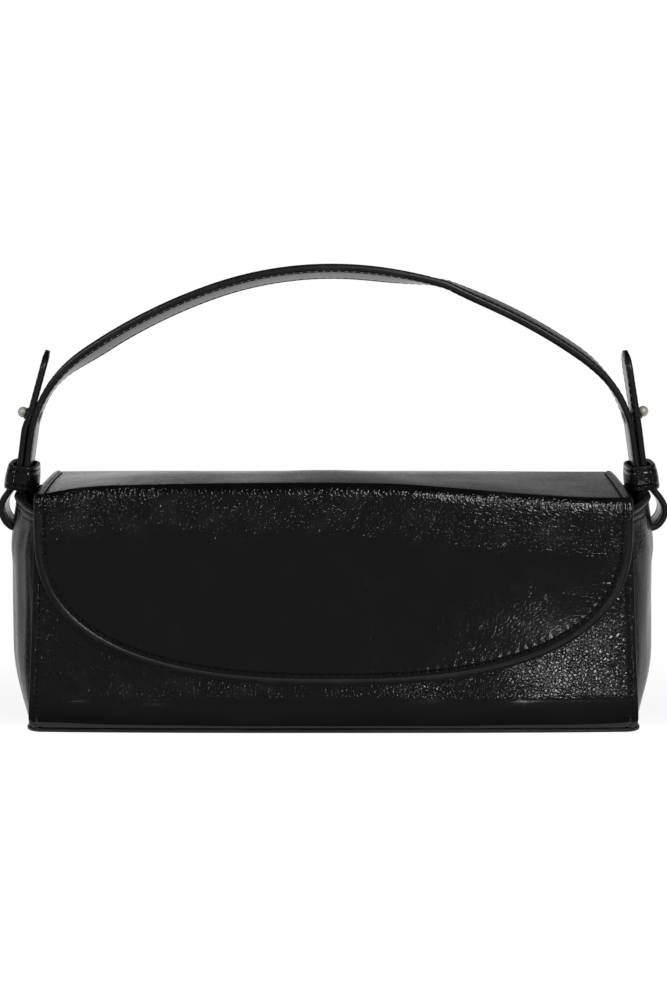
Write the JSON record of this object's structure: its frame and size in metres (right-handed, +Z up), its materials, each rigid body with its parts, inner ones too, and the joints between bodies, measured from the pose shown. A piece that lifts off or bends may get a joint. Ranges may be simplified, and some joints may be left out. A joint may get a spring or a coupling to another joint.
{
  "type": "top handle bag",
  "caption": "Slim flap-front handbag in glossy crinkled leather with bulging side gussets and an arched strap handle that loops through the sides and buttons on ball studs.",
  "frame": {"origin": "middle of the base's flat underside, below the middle of the bag between the handle's two feet", "axes": "+X along the bag to the right as seen from the flap's side, +Y to the back, +Z up; the flap hangs on the -Y side"},
  "size_m": [0.3094, 0.0851, 0.2083],
  "materials": {
    "patent_leather": "very glossy black crinkled patent leather",
    "strap_leather": "glossy black patent leather strap with stitched and painted edges",
    "painted_edge": "satin black edge paint",
    "lining": "matt black woven lining",
    "stiffener": "plain grey stiffener board, hidden",
    "pale_brass": "polished pale champagne brass",
    "nickel": "satin nickel",
    "magnet": "dark sintered magnet"
  },
  "bodies": {
    "bag": {"front_panel": "patent_leather", "back_panel": "patent_leather", "base_panel": "patent_leather", "left_gusset": "patent_leather", "right_gusset": "patent_leather", "left_gusset_binding": "painted_edge", "right_gusset_binding": "painted_edge", "left_slot_patch": "patent_leather", "right_slot_patch": "patent_leather", "front_board": "stiffener", "back_board": "stiffener", "base_board": "stiffener", "body_lining": "lining", "left_gusset_lining": "lining", "right_gusset_lining": "lining", "inner_pocket": "lining", "snap_socket": "nickel", "snap_magnet": "magnet", "snap_washer": "nickel", "left_strap_loop": "strap_leather", "right_strap_loop": "strap_leather"},
    "left_keeper": {"left_keeper": "strap_leather"},
    "right_keeper": {"right_keeper": "strap_leather"},
    "flap_top": {"flap_top": "patent_leather", "flap_top_lining": "lining"},
    "flap_front": {"flap_front": "patent_leather", "flap_front_lining": "lining", "snap_stud": "nickel"},
    "handle": {"handle_strap": "strap_leather", "left_tail_base": "strap_leather", "right_tail_base": "strap_leather", "left_stud": "pale_brass", "right_stud": "pale_brass", "left_stud_screw": "pale_brass", "right_stud_screw": "pale_brass"},
    "left_tail": {"left_strap_tail": "strap_leather"},
    "right_tail": {"right_strap_tail": "strap_leather"}
  },
  "joints": [
    {"name": "flap_top_hinge", "type": "hinge", "parent": "bag", "child": "flap_top", "pos_m": [0, 0.04, 0.1065], "axis": [-1, 0, 0], "range_deg": [0, 28]},
    {"name": "flap_front_hinge", "type": "hinge", "parent": "flap_top", "child": "flap_front", "pos_m": [0, -0.03341, 0.1125], "axis": [-1, 0, 0], "range_deg": [0, 95]},
    {"name": "handle_swing", "type": "hinge", "parent": "bag", "child": "handle", "pos_m": [0, 0, 0.132], "axis": [1, 0, 0], "range_deg": [-45, 27]},
    {"name": "left_keeper_slide", "type": "slide", "parent": "bag", "child": "left_keeper", "axis": [0.1288, 0, 0.9917], "range_m": [0, 0.004]},
    {"name": "right_keeper_slide", "type": "slide", "parent": "bag", "child": "right_keeper", "axis": [-0.1288, 0, 0.9917], "range_m": [0, 0.004]},
    {"name": "left_tail_bend", "type": "hinge", "parent": "handle", "child": "left_tail", "pos_m": [-0.14366, 0, 0.1328], "axis": [0, -1, 0], "range_deg": [0, 70]},
    {"name": "right_tail_bend", "type": "hinge", "parent": "handle", "child": "right_tail", "pos_m": [0.14366, 0, 0.1328], "axis": [0, 1, 0], "range_deg": [0, 70]}
  ]
}
